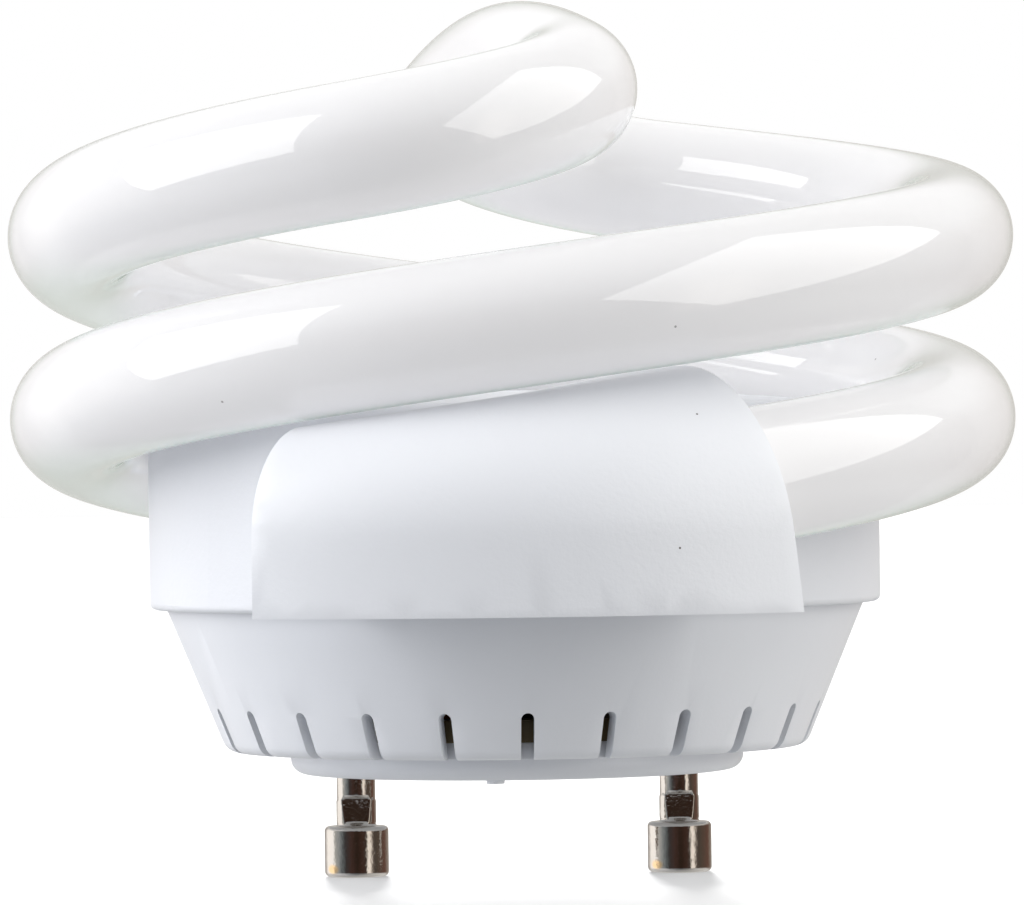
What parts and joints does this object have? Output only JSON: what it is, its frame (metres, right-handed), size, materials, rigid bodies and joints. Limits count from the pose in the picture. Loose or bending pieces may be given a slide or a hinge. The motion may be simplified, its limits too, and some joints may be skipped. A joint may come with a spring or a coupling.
{
  "type": "spiral energy saving bulb",
  "caption": "Squat double-spiral fluorescent energy saving lamp with a vented ballast housing and a two-pin twist-lock base.",
  "frame": {"origin": "on the lamp's axis, level with the tips of the two contact pins", "axes": "+Z along the lamp's axis, from the pins to the spiral's top; X through both pins"},
  "size_m": [0.0744, 0.08, 0.0647],
  "materials": {
    "coated_glass": "glossy white: clear glass with a white coating inside",
    "cap_plastic": "satin cool white",
    "housing_plastic": "satin cool white",
    "pin_nickel": "nickel plated",
    "tinned_wire": "tinned",
    "cement": "matt, set paste",
    "board_laminate": "brown laminate",
    "capacitor_sleeve": "shrunk sleeve",
    "film_dip": "dipped resin",
    "ferrite": "ground ferrite",
    "bobbin_plastic": "moulded",
    "enamelled_copper": "enamelled",
    "resistor_coat": "painted",
    "diode_body": "moulded epoxy"
  },
  "bodies": {
    "root": {"discharge_tube": "coated_glass", "upper_cap": "cap_plastic", "ballast_housing": "housing_plastic", "bottom_cap": "housing_plastic", "contact_pin_left": "pin_nickel", "contact_pin_right": "pin_nickel", "pin_lead_left": "tinned_wire", "pin_lead_right": "tinned_wire", "tube_cement_front": "cement", "tube_cement_back": "cement", "circuit_board": "board_laminate", "bulk_capacitor": "capacitor_sleeve", "resonant_capacitor": "film_dip", "filter_capacitor": "film_dip", "choke_core_lower": "ferrite", "choke_core_upper": "ferrite", "choke_bobbin": "bobbin_plastic", "choke_winding": "enamelled_copper", "drive_core": "ferrite", "drive_winding_1": "enamelled_copper", "drive_winding_2": "enamelled_copper", "drive_winding_3": "enamelled_copper", "filter_inductor_core": "ferrite", "filter_inductor_winding": "enamelled_copper", "start_thermistor": "film_dip", "fusible_resistor": "resistor_coat", "trigger_diac": "diode_body", "high_side_transistor": "diode_body", "low_side_transistor": "diode_body", "rectifier_diode_1": "diode_body", "rectifier_diode_2": "diode_body", "rectifier_diode_3": "diode_body", "rectifier_diode_4": "diode_body", "bias_resistor_1": "resistor_coat", "bias_resistor_2": "resistor_coat", "bias_resistor_3": "resistor_coat", "wire_post_1": "tinned_wire", "wire_post_2": "tinned_wire", "wire_post_3": "tinned_wire", "wire_post_4": "tinned_wire", "tube_lead_1": "tinned_wire", "tube_lead_2": "tinned_wire", "tube_lead_3": "tinned_wire", "tube_lead_4": "tinned_wire"}
  },
  "joints": []
}
